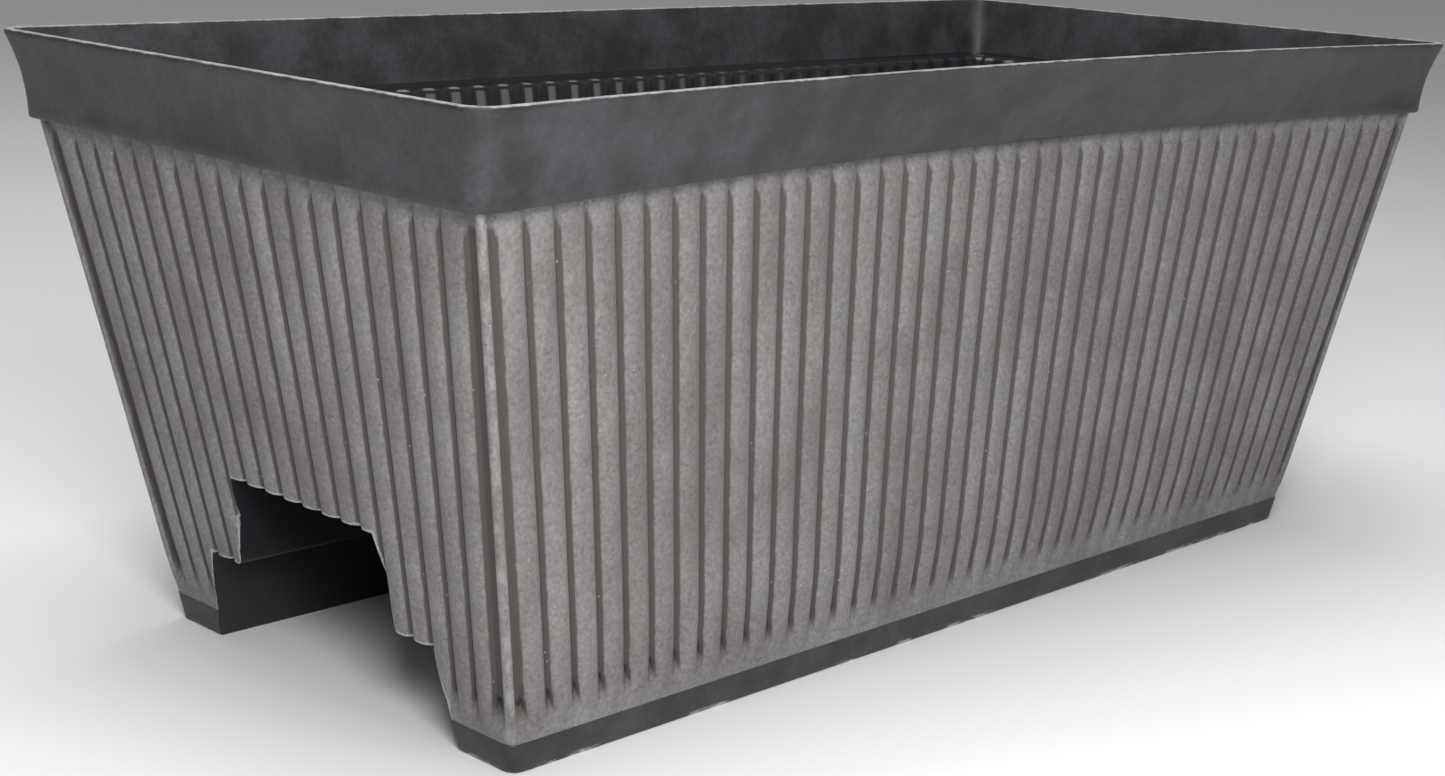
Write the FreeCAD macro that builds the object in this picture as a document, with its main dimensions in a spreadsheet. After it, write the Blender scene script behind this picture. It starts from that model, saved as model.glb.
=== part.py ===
import FreeCAD, Part
import os
import re
import Sketcher
from FreeCAD import Placement, Rotation, Vector

# A self-watering planter that straddles a deck rail.
# X runs along the trough, Y across it, Z up. The origin is the middle of the footprint.
# One thin reeded moulding carries a flared rim, a base band and a stepped tunnel for the
# rail. The two legs beside the tunnel are the water reservoirs.

SIZES = [
    ("planter_length", 610, "over the rim"),
    ("planter_width", 294, "over the rim"),
    ("planter_height", 241, "floor to lip"),
    ("rim_height", 34, "smooth band under the lip"),
    ("rim_flare", 7, "how far the lip stands out past the foot of the rim"),
    ("rim_knee", 14, "depth below the lip where the flare starts to open"),
    ("knee_flare", 4.5, "how far the lip stands out past the knee"),
    ("rim_ledge", 4.5, "how far the rim stands out past the reeds"),
    ("lip_width", 4.5, "flat top of the rim"),
    ("rim_corner", 11, "corner radius of the rim"),
    ("base_length", 502, "over the base band, at the floor"),
    ("base_width", 213, "over the base band, at the floor"),
    ("base_corner", 8, "corner radius of the base band"),
    ("band_height", 12, "smooth band round the foot"),
    ("wall", 3, "moulded wall"),
    ("reed_depth", 2.8, "crest to valley, outside"),
    ("hollow_depth", 2, "crest to valley, inside"),
    ("reeds_along", 40, "reeds on each long face"),
    ("reeds_across", 18, "reeds on each end"),
    ("corner_along", 6.5, "long face: corner to the first valley"),
    ("corner_across", 9, "end: corner to the first valley"),
    ("low_gap_foot", 154, "lower tunnel width at the floor"),
    ("low_gap_head", 141.5, "lower tunnel width at its ceiling"),
    ("high_gap_foot", 99, "upper tunnel width at its foot"),
    ("high_gap_head", 90, "upper tunnel width at its ceiling"),
    ("step_height", 39, "floor to the step that sits on a wide rail"),
    ("saddle_height", 77, "floor to the ceiling that sits on a narrow rail"),
    ("deck_plate", 3, "soil deck thickness"),
    ("deck_lip", 5, "height of the soil deck's turned-up edge"),
    ("deck_lip_width", 1.8, "thickness of that edge"),
    ("deck_gap", 0.8, "clearance round a soil deck"),
    ("post_radius", 4, "deck post"),
    ("slot_width", 4, "drainage slot"),
    ("slot_margin", 6, "end of a slot to the nearest cup"),
    ("tab_length", 18, "lifting tab"),
    ("tab_rise", 20, "lifting tab"),
    ("tab_plate", 2.4, "lifting tab"),
    ("tab_hole_radius", 5, "finger hole"),
    ("tab_inset", 6, "deck's inner edge to the tab"),
    ("slot_row", 11.5, "middle of the leg to each row of slots"),
    ("cup_spread", 120, "middle of the deck to a wicking cup"),
    ("cup_head_gap", 4.5, "top of a wicking cup to the walls of its leg"),
    ("cup_taper", 2.7, "how much wider a wicking cup is at its head than at its foot"),
    ("cup_flange", 1.3, "flange overhang"),
    ("cup_plate", 1.8, "flange thickness"),
    ("cup_wall", 1.6, "wicking cup wall"),
    ("cup_slot", 2.5, "width of the slots that let water in"),
    ("foot_gap", 1, "feet of cups and tubes above the reservoir floor"),
    ("fit_gap", 0.3, "clearance of what drops through a deck"),
    ("tube_inset", 25, "end of the footprint to the axes of the fill tube and the gauge"),
    ("tube_side_gap", 0.8, "foot of the fill tube to the walls of its leg"),
    ("tube_radius_limit", 12, "the widest that the fill tube may be"),
    ("tube_wall", 1.8, "fill tube"),
    ("tube_top", 178, "mouth of the fill tube"),
    ("collar_overhang", 3, "collars that rest on a deck"),
    ("collar_plate", 2.5, "collars that rest on a deck"),
    ("funnel_flare", 5.5, "mouth of the fill tube past the tube"),
    ("funnel_rise", 16, "height of the funnel"),
    ("inlet_slot", 3, "water slots at the feet of the tubes"),
    ("inlet_rise", 14, "height of those slots"),
    ("strainer_rise", 5, "debris strainer inside the funnel"),
    ("strainer_hole_radius", 1.5, "hole in the strainer"),
    ("strainer_plate", 1.2, "strainer"),
    ("strainer_hole_ring", 4.4, "pitch radius of its outer holes"),
    ("lid_plate", 2.4, "fill cap"),
    ("lid_overhang", 0.8, "fill cap past the funnel"),
    ("hinge_gap", 4.5, "funnel to the axis of the hinge pin"),
    ("pin_radius", 1.5, "hinge pin"),
    ("pin_end", 0.5, "pin past each lug"),
    ("pin_gap", 0.05, "running fit of the fill cap on its pin"),
    ("knuckle_radius", 3.2, "round the pin"),
    ("knuckle_width", 6, "middle knuckle, on the cap"),
    ("lug_width", 3, "each outer knuckle, on the tube"),
    ("lug_gap", 0.3, "between knuckles"),
    ("gauge_side_gap", 1.8, "foot of the gauge tube to the walls of its leg"),
    ("gauge_wall", 1.5, "level gauge tube"),
    ("gauge_top", 148, "level gauge tube, where the window starts"),
    ("window_rise", 38, "clear window above the gauge tube"),
    ("window_cuff", 5, "how far the window's cuff comes down the tube"),
    ("float_rise", 22, "float"),
    ("float_gap", 0.6, "float to gauge tube"),
    ("float_chamfer", 1.5, "float ends"),
    ("float_stop_radius", 4.5, "hole in the foot of the gauge tube"),
    ("stem_radius", 1.2, "float stem"),
    ("flag_plate", 3, "marker on top of the stem"),
    ("flag_below_window", 1, "marker under the window's foot when empty"),
    ("drain_height", 8, "axis of a drain above the floor"),
    ("drain_radius", 3.4, "drain bore"),
    ("drain_face_radius", 6.2, "flat face round the bore"),
    ("drain_face_depth", 1.6, "base band to that face, at the drain's height"),
    ("drain_fit", 0.04, "drain plug in its bore"),
    ("plug_head_radius", 5.2, "drain plug"),
    ("plug_head", 3, "drain plug"),
    ("plug_grip", 1.2, "half the finger grip on the plug"),
    ("plug_pull", 5, "finger grip standing out of the head"),
    ("seal_plate", 1.2, "sealing ring"),
    ("seal_margin", 0.4, "ring inside the plug head"),
    ("plug_reach", 1.5, "plug past the inside of the wall"),
    ("overflow_height", 35, "axis of an overflow hole above the floor"),
    ("overflow_radius", 2.5, "overflow hole"),
]

doc = FreeCAD.newDocument("SelfWateringPlanter")
sheet = doc.addObject("Spreadsheet::Sheet", "Dimensions")
for row, (alias, value, note) in enumerate(SIZES, start=1):
    sheet.set(f"A{row}", alias)
    sheet.set(f"B{row}", str(value))
    sheet.set(f"C{row}", note)
    sheet.setAlias(f"B{row}", alias)
doc.recompute()

ALIASES = {alias for alias, _, _ in SIZES}
UPRIGHT = Rotation()
ALONG_X = Rotation(Vector(0, 1, 0), 90)
ALONG_Y = Rotation(Vector(1, 0, 0), -90)
FRONT, REAR = -1, 1
SIDE_NAMES = {FRONT: "front", REAR: "rear"}
REED_FACETS = 4
BEAD_FACETS = 4


def size(alias):
    """Read one driving dimension from the sheet."""
    return float(sheet.get(alias))


def formula(text):
    """Turn an expression written with plain aliases into one that reads the sheet."""
    return re.sub(r"[a-z][a-z_]+", lambda word: f"Dimensions.{word.group()}"
                  if word.group() in ALIASES else word.group(), str(text))


def bind(item, **properties):
    """Bind properties of an object to expressions; a double underscore stands for a dot."""
    for name, text in properties.items():
        item.setExpression(name.replace("__", "."), formula(text))
    return item


def place(item, x=0, y=0, z=0, turn=UPRIGHT):
    """Turn an object and bind its position."""
    item.Placement = Placement(Vector(), turn)
    return bind(item, Placement__Base__x=x, Placement__Base__y=y, Placement__Base__z=z)


# ---------------------------------------------------------------- building blocks

def box(label, length, width, height, x, y, z):
    """A box centred on x and y that stands on z."""
    item = bind(doc.addObject("Part::Box", label), Length=length, Width=width, Height=height)
    return place(item, f"{x} - ({length}) / 2", f"{y} - ({width}) / 2", z)


def rod(label, radius, height, x=0, y=0, z=0, turn=UPRIGHT):
    """A cylinder that starts at x, y, z."""
    item = bind(doc.addObject("Part::Cylinder", label), Radius=radius, Height=height)
    return place(item, x, y, z, turn)


def tapered_block(label, low, high):
    """A centred block that tapers between two (height, length, width) rectangles."""
    item = doc.addObject("Part::Wedge", label)
    item.Placement = Placement(Vector(), Rotation(Vector(1, 0, 0), 90))
    bind(item, Ymin=low[0], Xmin=f"-({low[1]}) / 2", Xmax=f"({low[1]}) / 2",
         Zmin=f"-({low[2]}) / 2", Zmax=f"({low[2]}) / 2")
    return bind(item, Ymax=high[0], X2min=f"-({high[1]}) / 2", X2max=f"({high[1]}) / 2",
                Z2min=f"-({high[2]}) / 2", Z2max=f"({high[2]}) / 2")


def fuse(label, *items):
    """Join objects into one solid."""
    item = doc.addObject("Part::MultiFuse", label)
    item.Shapes = list(items)
    return item


def cut(label, base, tool):
    """Take the tool away from the base."""
    item = doc.addObject("Part::Cut", label)
    item.Base = base
    item.Tool = tool
    return item


def round_corners(label, block, radius):
    """Round the four upright corner edges of a tapered block."""
    doc.recompute()
    corners = [index for index, edge in enumerate(block.Shape.Edges, start=1)
               if abs(edge.Vertexes[0].Z - edge.Vertexes[-1].Z) > 1]
    item = doc.addObject("Part::Fillet", label)
    item.Base = block
    item.Edges = [(index, radius, radius) for index in corners]
    return item


def constrain_to_origin(sketch, item, point, across, along):
    """Fix one sketch point by two expressions, or by an axis where one of them is zero."""
    for kind, axis, text in (("DistanceX", -2, across), ("DistanceY", -1, along)):
        if text == 0:
            sketch.addConstraint(Sketcher.Constraint("PointOnObject", item, point, axis))
        else:
            index = sketch.addConstraint(Sketcher.Constraint(kind, -1, 1, item, point, 10.0))
            sketch.setExpression(f"Constraints[{index}]", formula(text))


def profile(body, plane_role, points):
    """A closed outline on one of the body's origin planes, through (across, along) points."""
    plane = next(item for item in body.Origin.OriginFeatures if item.Role == plane_role)
    sketch = body.newObject("Sketcher::SketchObject", f"{body.Name}Profile")
    sketch.AttachmentSupport = (plane, [""])
    sketch.MapMode = "FlatFace"
    count = len(points)
    start = [Vector(10 + 5 * index, 10 + (index - count / 2) ** 2, 0) for index in range(count)]
    for index in range(count):
        sketch.addGeometry(Part.LineSegment(start[index], start[(index + 1) % count]), False)
    for index in range(count):
        joint = Sketcher.Constraint("Coincident", index, 2, (index + 1) % count, 1)
        sketch.addConstraint(joint)
    for index, (across, along) in enumerate(points):
        constrain_to_origin(sketch, index, 1, across, along)
    return sketch


def turned(label, points, x=0, y=0, z=0, turn=UPRIGHT):
    """A turned piece from an outline of (radius, height) points about its own axis."""
    body = doc.addObject("PartDesign::Body", label)
    sketch = profile(body, "XZ_Plane", points)
    doc.recompute()
    spin = body.newObject("PartDesign::Revolution", f"{label}Turning")
    spin.Profile = sketch
    spin.ReferenceAxis = (sketch, ["V_Axis"])
    spin.Angle = 360
    body.Tip = spin
    return place(body, x, y, z, turn)


# ---------------------------------------------------------------- shared places

BODY_TOP = "(planter_height - rim_height)"
DECK_UNDERSIDE = "(step_height + wall)"
DECK_TOP = "(step_height + wall + deck_plate)"
LEG_MIDDLE = "((low_gap_foot / 2 + base_width / 2 - reed_depth) / 2)"
FOOT = "(wall + foot_gap)"
TUBE_X = "(base_length / 2 - tube_inset)"
BODY_LENGTH = "(planter_length - 2 * rim_flare - 2 * rim_ledge)"
BODY_WIDTH = "(planter_width - 2 * rim_flare - 2 * rim_ledge)"


def crest_length(height):
    """Length over the reeds at a height."""
    return f"(base_length + ({BODY_LENGTH} - base_length) * ({height}) / {BODY_TOP})"


def crest_width(height):
    """Width over the reeds at a height."""
    return f"(base_width + ({BODY_WIDTH} - base_width) * ({height}) / {BODY_TOP})"


def leg_half_width(height):
    """Half the clear width inside a leg at a height."""
    draft = f"(low_gap_foot - low_gap_head) * ({height}) / step_height"
    tunnel = f"(low_gap_foot - {draft}) / 2"
    return f"(({crest_width(height)} / 2 - {tunnel} - 2 * wall - reed_depth) / 2)"


DECK_INNER = "(high_gap_foot / 2 + wall + deck_gap)"
DECK_OUTER = f"({crest_width(DECK_UNDERSIDE)} / 2 - wall - reed_depth - deck_gap)"
TRAY_REACH = (f"(min({DECK_OUTER} - {LEG_MIDDLE}; {LEG_MIDDLE} - {DECK_INNER})"
              " - deck_lip_width - fit_gap)")
FUNNEL_REACH = f"({crest_width('tube_top')} / 2 - wall - reed_depth - {LEG_MIDDLE} - deck_gap)"
TUBE_RADIUS = (f"(min({leg_half_width('wall')} - tube_side_gap; {TRAY_REACH} - collar_overhang;"
               f" {FUNNEL_REACH} - funnel_flare - lid_overhang; tube_radius_limit))")
FUNNEL_RADIUS = f"({TUBE_RADIUS} + funnel_flare)"
HINGE_REACH = f"({FUNNEL_RADIUS} + hinge_gap)"
GAUGE_RADIUS = f"({TUBE_RADIUS} + tube_side_gap - gauge_side_gap)"
CUP_HEAD_RADIUS = (f"(min({leg_half_width('step_height')} - cup_head_gap;"
                   f" {TRAY_REACH} - cup_flange))")
CUP_FOOT_RADIUS = f"({CUP_HEAD_RADIUS} - cup_taper)"


# ---------------------------------------------------------------- reeded walls

def crest_half_sizes(height):
    """Half length and half width over the reeds at a height, as numbers."""
    rise = height / (size("planter_height") - size("rim_height"))
    overhang = size("rim_flare") + size("rim_ledge")
    top = [size("planter_length") / 2 - overhang, size("planter_width") / 2 - overhang]
    foot = [size("base_length") / 2, size("base_width") / 2]
    return [low + (high - low) * rise for low, high in zip(foot, top)]


def face_point(outward, distance, along, height):
    """A point on a wall: so far out, so far along it counter-clockwise, so high."""
    side = Vector(-outward.y, outward.x)
    return outward * distance + side * along + Vector(0, 0, height)


def reed_points(outward, distance, run, reeds, groove, height):
    """The facets of a row of reeds: each reed is a flat parabola between two valleys."""
    points = []
    for step in range(reeds * REED_FACETS + 1):
        across_reed = step % REED_FACETS / REED_FACETS
        depth = groove * (2 * across_reed - 1) ** 2
        along = 2 * run * step / (reeds * REED_FACETS) - run
        points.append(face_point(outward, distance - depth, along, height))
    return points


def bead_points(start, corner, end):
    """The facets of a corner bead, between the last valley of one face and the next."""
    points = []
    for step in range(1, BEAD_FACETS):
        share = step / BEAD_FACETS
        near = start * (1 - share) + corner * share
        far = corner * (1 - share) + end * share
        points.append(near * (1 - share) + far * share)
    return points


def reeded_outline(height, inset, groove):
    """One level of a reeded wall, with a bead at each corner."""
    half_length, half_width = (half - inset for half in crest_half_sizes(height))
    along_run = half_length + inset - size("corner_along")
    across_run = half_width + inset - size("corner_across")
    reeds_along = int(size("reeds_along"))
    reeds_across = int(size("reeds_across"))
    faces = (
        (Vector(0, -1), half_width, along_run, reeds_along),
        (Vector(1, 0), half_length, across_run, reeds_across),
        (Vector(0, 1), half_width, along_run, reeds_along),
        (Vector(-1, 0), half_length, across_run, reeds_across),
    )
    rows = [reed_points(*face, groove, height) for face in faces]
    outline = []
    for index, row in enumerate(rows):
        following = (index + 1) % len(rows)
        turn = faces[index][0] + faces[following][0]
        corner = Vector(turn.x * half_length, turn.y * half_width, height)
        outline += row + bead_points(row[-1], corner, rows[following][0])
    return Part.makePolygon(outline + outline[:1])


def reeded_solid(label, low, high, inset, groove):
    """A solid whose reeds run straight from one level to another."""
    levels = [reeded_outline(height, inset, groove) for height in (low, high)]
    item = doc.addObject("Part::Feature", label)
    item.Shape = Part.makeLoft(levels, True, True)
    return item


# ---------------------------------------------------------------- the moulded shell

def rail_tunnel(label, spare):
    """The stepped tunnel, or with spare > 0 the jacket of wall round it."""
    low = tapered_block(f"{label}Low", (0, "planter_length", f"low_gap_foot + 2 * {spare}"),
                        (f"step_height + {spare}", "planter_length",
                         f"low_gap_head + 2 * {spare}"))
    high = tapered_block(f"{label}High",
                         ("step_height", "planter_length", f"high_gap_foot + 2 * {spare}"),
                         (f"saddle_height + {spare}", "planter_length",
                          f"high_gap_head + 2 * {spare}"))
    return [low, high]


def end_wall_holes(side):
    """The drain bore, its flat face and the overflow hole of one leg, in its +X end."""
    name = SIDE_NAMES[side]
    leg = f"{side} * {LEG_MIDDLE}"
    wall_face = f"{crest_length('drain_height')} / 2"
    bore = rod(f"{name}DrainBore", "drain_radius", "6 * wall", f"{wall_face} - 5 * wall", leg,
               "drain_height", ALONG_X)
    face = rod(f"{name}DrainFace", "drain_face_radius", "2 * wall",
               f"{wall_face} - drain_face_depth", leg, "drain_height", ALONG_X)
    overflow = rod(f"{name}Overflow", "overflow_radius", "6 * wall",
                   f"{crest_length('overflow_height')} / 2 - 4 * wall", leg,
                   "overflow_height", ALONG_X)
    return [bore, face, overflow]


def planter_shell():
    """Rim, reeded body, base band, tunnel and the floors of both legs, one moulding."""
    body_top = size("planter_height") - size("rim_height")
    ledge = body_top + size("wall")
    inside_crest = size("wall") + size("reed_depth") - size("hollow_depth")
    band = tapered_block("BaseBand", (0, "base_length", "base_width"),
                         ("band_height", crest_length("band_height"),
                          crest_width("band_height")))
    band = round_corners("BaseBandRounded", band, size("base_corner"))
    reeds = reeded_solid("ReededSkin", size("band_height"), body_top, 0, size("reed_depth"))
    foot = ("planter_length - 2 * rim_flare", "planter_width - 2 * rim_flare")
    knee = ("planter_length - 2 * knee_flare", "planter_width - 2 * knee_flare")
    lip = ("planter_length", "planter_width")
    rim_low = tapered_block("RimLow", (BODY_TOP, *foot), ("planter_height - rim_knee", *knee))
    rim_high = tapered_block("RimHigh", ("planter_height - rim_knee", *knee),
                             ("planter_height", *lip))
    outer_corner = size("rim_corner")
    outside = fuse("Outside", band, reeds,
                   round_corners("RimLowRounded", rim_low, outer_corner),
                   round_corners("RimHighRounded", rim_high, outer_corner))
    cavity = reeded_solid("ReededHollow", size("wall"), ledge, inside_crest,
                          size("hollow_depth"))
    jacket = fuse("Jacket", *rail_tunnel("Jacket", "wall"))
    mouth = tapered_block("Mouth", (f"{BODY_TOP} + wall", f"{foot[0]} - 2 * wall",
                                    f"{foot[1]} - 2 * wall"),
                          ("planter_height", "planter_length - 2 * lip_width",
                           "planter_width - 2 * lip_width"))
    mouth = round_corners("MouthRounded", mouth, outer_corner - size("wall"))
    holes = end_wall_holes(FRONT) + end_wall_holes(REAR)
    inside = fuse("Inside", cut("CavityAroundTunnel", cavity, jacket), mouth,
                  *rail_tunnel("Tunnel", "0"), *holes)
    return cut("planter_shell", outside, inside)


# ---------------------------------------------------------------- soil decks and cups

def lifting_tab(name, x, y):
    """An upright finger tab with a hole through it."""
    plate = box(f"{name}Tab", "tab_length", "tab_plate", "tab_rise", x, y, DECK_TOP)
    hole = rod(f"{name}TabHole", "tab_hole_radius", "3 * tab_plate", x,
               f"{y} - 1.5 * tab_plate", f"{DECK_TOP} + tab_rise - tab_length / 2", ALONG_Y)
    return cut(f"{name}TabDrilled", plate, hole)


def soil_deck(side):
    """One perforated deck: it rests on the tunnel's step and on posts in the reservoir."""
    name = SIDE_NAMES[side]
    leg = f"{side} * {LEG_MIDDLE}"
    length = f"({crest_length(DECK_UNDERSIDE)} - 2 * (wall + reed_depth + deck_gap))"
    width = f"({DECK_OUTER} - {DECK_INNER})"
    middle = f"{side} * ({DECK_OUTER} + {DECK_INNER}) / 2"
    plate = box(f"{name}DeckPlate", length, width, "deck_plate + deck_lip", 0, middle,
                DECK_UNDERSIDE)
    tray = box(f"{name}DeckTray", f"{length} - 2 * deck_lip_width",
               f"{width} - 2 * deck_lip_width", "deck_lip", 0, middle, DECK_TOP)
    under_plate = f"{DECK_UNDERSIDE} - deck_plate"
    drilled_radius = f"({TUBE_RADIUS if side == FRONT else GAUGE_RADIUS} + fit_gap)"
    holes = [tray, rod(f"{name}TubeHole", drilled_radius, "3 * deck_plate", TUBE_X, leg,
                       under_plate)]
    raised = []
    for end in (-1, 1):
        holes.append(rod(f"{name}CupHole", f"{CUP_HEAD_RADIUS} + fit_gap", "3 * deck_plate",
                         f"{end} * cup_spread", leg, under_plate))
        raised.append(lifting_tab(name, f"{end} * cup_spread / 2",
                                  f"{side} * ({DECK_INNER} + tab_inset)"))
        for near, far in (("0", "cup_spread"), ("cup_spread", TUBE_X)):
            bay = f"{end} * ({near} + {far}) / 2"
            slot = f"{far} - {near} - 2 * ({CUP_HEAD_RADIUS} + slot_margin)"
            raised.append(rod(f"{name}Post", "post_radius", f"{DECK_UNDERSIDE} - wall", bay, leg,
                              "wall"))
            for row in (-1, 1):
                holes.append(box(f"{name}Slot", slot, "slot_width", "3 * deck_plate", bay,
                                 f"{leg} + {row} * slot_row", under_plate))
    drilled = cut(f"{name}DeckDrilled", plate, fuse(f"{name}DeckHoles", *holes))
    return fuse(f"soil_deck_{name}", drilled, *raised)


def crossed_slots(label, width, height, x, y, z, reach):
    """Two crossed blocks that open four slots in a round wall."""
    return fuse(label, box(f"{label}Along", reach, width, height, x, y, z),
                box(f"{label}Across", width, reach, height, x, y, z))


def wick_cup(side, end):
    """A slotted cup of soil that hangs from the deck into the water."""
    name = f"wick_cup_{SIDE_NAMES[side]}_{'left' if end < 0 else 'right'}"
    x = f"{end} * cup_spread"
    y = f"{side} * {LEG_MIDDLE}"
    depth = f"({DECK_TOP} - {FOOT})"
    cup = turned(f"{name}_cone", [
        (0, 0),
        (CUP_FOOT_RADIUS, 0),
        (CUP_HEAD_RADIUS, depth),
        (f"{CUP_HEAD_RADIUS} + cup_flange", depth),
        (f"{CUP_HEAD_RADIUS} + cup_flange", f"{depth} + cup_plate"),
        (f"{CUP_HEAD_RADIUS} - cup_wall", f"{depth} + cup_plate"),
        (f"{CUP_FOOT_RADIUS} - cup_wall", "cup_wall"),
        (0, "cup_wall"),
    ], x, y, FOOT)
    slots = crossed_slots(f"{name}_slots", "cup_slot", f"{depth} / 2", x, y,
                          f"{FOOT} + 2 * cup_wall", f"3 * {CUP_HEAD_RADIUS}")
    return cut(name, cup, slots)


# ---------------------------------------------------------------- fill tube and its cap

TUBE_Y = f"{FRONT} * {LEG_MIDDLE}"
HINGE_X = f"{TUBE_X} + {HINGE_REACH}"
HINGE_Z = "tube_top + lid_plate / 2"


def hinge_barrel(label, radius, width, shift="0"):
    """A round piece of the hinge, on the pin's axis and centred on it but for a shift."""
    return rod(label, radius, width, HINGE_X, f"{TUBE_Y} + {shift} - ({width}) / 2", HINGE_Z,
               ALONG_Y)


def fill_tube():
    """The pipe that takes water through the front deck, with a funnel and two hinge lugs."""
    collar = f"({DECK_TOP} - {FOOT})"
    top = f"(tube_top - {FOOT})"
    pipe = turned("fill_pipe", [
        (f"{TUBE_RADIUS} - tube_wall", 0),
        (TUBE_RADIUS, 0),
        (TUBE_RADIUS, collar),
        (f"{TUBE_RADIUS} + collar_overhang", collar),
        (f"{TUBE_RADIUS} + collar_overhang", f"{collar} + collar_plate"),
        (TUBE_RADIUS, f"{collar} + collar_plate"),
        (TUBE_RADIUS, f"{top} - funnel_rise"),
        (FUNNEL_RADIUS, f"{top} - 2 * tube_wall"),
        (FUNNEL_RADIUS, top),
        (f"{FUNNEL_RADIUS} - tube_wall", top),
        (f"{TUBE_RADIUS} - tube_wall", f"{top} - funnel_rise"),
    ], TUBE_X, TUBE_Y, FOOT)
    lugs = []
    for end in (-1, 1):
        shift = f"{end} * (knuckle_width / 2 + lug_gap + lug_width / 2)"
        lugs.append(hinge_barrel("Lug", "knuckle_radius", "lug_width", shift))
        reach = f"({HINGE_REACH} + tube_wall - {FUNNEL_RADIUS})"
        lugs.append(box("LugArm", reach, "lug_width", "2 * knuckle_radius",
                        f"{HINGE_X} - {reach} / 2", f"{TUBE_Y} + {shift}",
                        "tube_top - lug_gap - 2 * knuckle_radius"))
    solid = fuse("FillTubeSolid", pipe, *lugs)
    slots = crossed_slots("FillSlots", "inlet_slot", "inlet_rise", TUBE_X, TUBE_Y, FOOT,
                          f"3 * {TUBE_RADIUS}")
    bore = hinge_barrel("LugBore", "pin_radius", "2 * knuckle_width + 2 * lug_width")
    return cut("fill_tube", solid, fuse("FillTubeHoles", slots, bore))


def fill_strainer():
    """A perforated cup that keeps soil out of the pipe; it sits in the funnel's cone."""
    foot = f"({TUBE_RADIUS} - tube_wall)"
    head = f"({foot} + ({FUNNEL_RADIUS} - {TUBE_RADIUS}) * strainer_rise / funnel_rise)"
    z = "tube_top - funnel_rise"
    cup = turned("strainer_cup", [
        (0, 0),
        (foot, 0),
        (head, "strainer_rise"),
        (f"{head} - strainer_plate", "strainer_rise"),
        (f"{foot} - strainer_plate", "strainer_plate"),
        (0, "strainer_plate"),
    ], TUBE_X, TUBE_Y, z)
    holes = [rod("StrainerHole", "strainer_hole_radius", "4 * strainer_plate", TUBE_X,
                 TUBE_Y, f"{z} - strainer_plate")]
    for turn in range(6):
        x = f"{TUBE_X} + strainer_hole_ring * cos({60 * turn} deg)"
        y = f"{TUBE_Y} + strainer_hole_ring * sin({60 * turn} deg)"
        holes.append(rod("StrainerHole", "strainer_hole_radius", "4 * strainer_plate", x, y,
                         f"{z} - strainer_plate"))
    return cut("fill_strainer", cup, fuse("StrainerHoles", *holes))


def fill_cap():
    """The flap over the funnel, with the middle knuckle of the hinge."""
    disc = rod("CapDisc", f"{FUNNEL_RADIUS} + lid_overhang", "lid_plate", TUBE_X, TUBE_Y,
               "tube_top")
    arm = box("CapArm", HINGE_REACH, "knuckle_width", "lid_plate",
              f"{TUBE_X} + {HINGE_REACH} / 2", TUBE_Y, "tube_top")
    lift = box("CapLift", "2 * lid_plate", "knuckle_width", "lid_plate",
               f"{TUBE_X} - {FUNNEL_RADIUS} - lid_overhang", TUBE_Y, "tube_top")
    knuckle = hinge_barrel("CapKnuckle", "knuckle_radius", "knuckle_width")
    bore = hinge_barrel("CapBore", "pin_radius + pin_gap", "2 * knuckle_width")
    return cut("fill_cap", fuse("CapSolid", disc, arm, lift, knuckle), bore)


def fill_cap_pin():
    """The hinge pin, pressed into the two lugs."""
    return hinge_barrel("fill_cap_pin", "pin_radius",
                        "knuckle_width + 2 * lug_gap + 2 * lug_width + 2 * pin_end")


# ---------------------------------------------------------------- level gauge

GAUGE_Y = f"{REAR} * {LEG_MIDDLE}"
FLOAT_Z = f"({FOOT} + gauge_wall)"
FLAG_Z = "(gauge_top - flag_below_window - flag_plate)"


def gauge_tube():
    """The guide for the float, standing in the rear deck."""
    collar = f"({DECK_TOP} - {FOOT})"
    pipe = turned("gauge_pipe", [
        ("float_stop_radius", 0),
        (GAUGE_RADIUS, 0),
        (GAUGE_RADIUS, collar),
        (f"{GAUGE_RADIUS} + collar_overhang", collar),
        (f"{GAUGE_RADIUS} + collar_overhang", f"{collar} + collar_plate"),
        (GAUGE_RADIUS, f"{collar} + collar_plate"),
        (GAUGE_RADIUS, f"gauge_top - {FOOT}"),
        (f"{GAUGE_RADIUS} - gauge_wall", f"gauge_top - {FOOT}"),
        (f"{GAUGE_RADIUS} - gauge_wall", "gauge_wall"),
        ("float_stop_radius", "gauge_wall"),
    ], TUBE_X, GAUGE_Y, FOOT)
    slots = crossed_slots("GaugeSlots", "inlet_slot", "inlet_rise", TUBE_X, GAUGE_Y,
                          f"{FOOT} + gauge_wall", f"3 * {GAUGE_RADIUS}")
    return cut("gauge_tube", pipe, slots)


def gauge_window():
    """The clear closed sleeve on top of the gauge tube."""
    return turned("gauge_window", [
        (GAUGE_RADIUS, 0),
        (f"{GAUGE_RADIUS} + gauge_wall", 0),
        (f"{GAUGE_RADIUS} + gauge_wall", "window_cuff + window_rise"),
        (0, "window_cuff + window_rise"),
        (0, "window_cuff + window_rise - gauge_wall"),
        (f"{GAUGE_RADIUS} - gauge_wall", "window_cuff + window_rise - gauge_wall"),
        (f"{GAUGE_RADIUS} - gauge_wall", "window_cuff"),
        (GAUGE_RADIUS, "window_cuff"),
    ], TUBE_X, GAUGE_Y, "gauge_top - window_cuff")


def gauge_float():
    """The float, chamfered at both ends."""
    radius = f"({GAUGE_RADIUS} - gauge_wall - float_gap)"
    return turned("gauge_float", [
        (0, 0),
        (f"{radius} - float_chamfer", 0),
        (radius, "float_chamfer"),
        (radius, "float_rise - float_chamfer"),
        (f"{radius} - float_chamfer", "float_rise"),
        (0, "float_rise"),
    ], TUBE_X, GAUGE_Y, FLOAT_Z)


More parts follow.
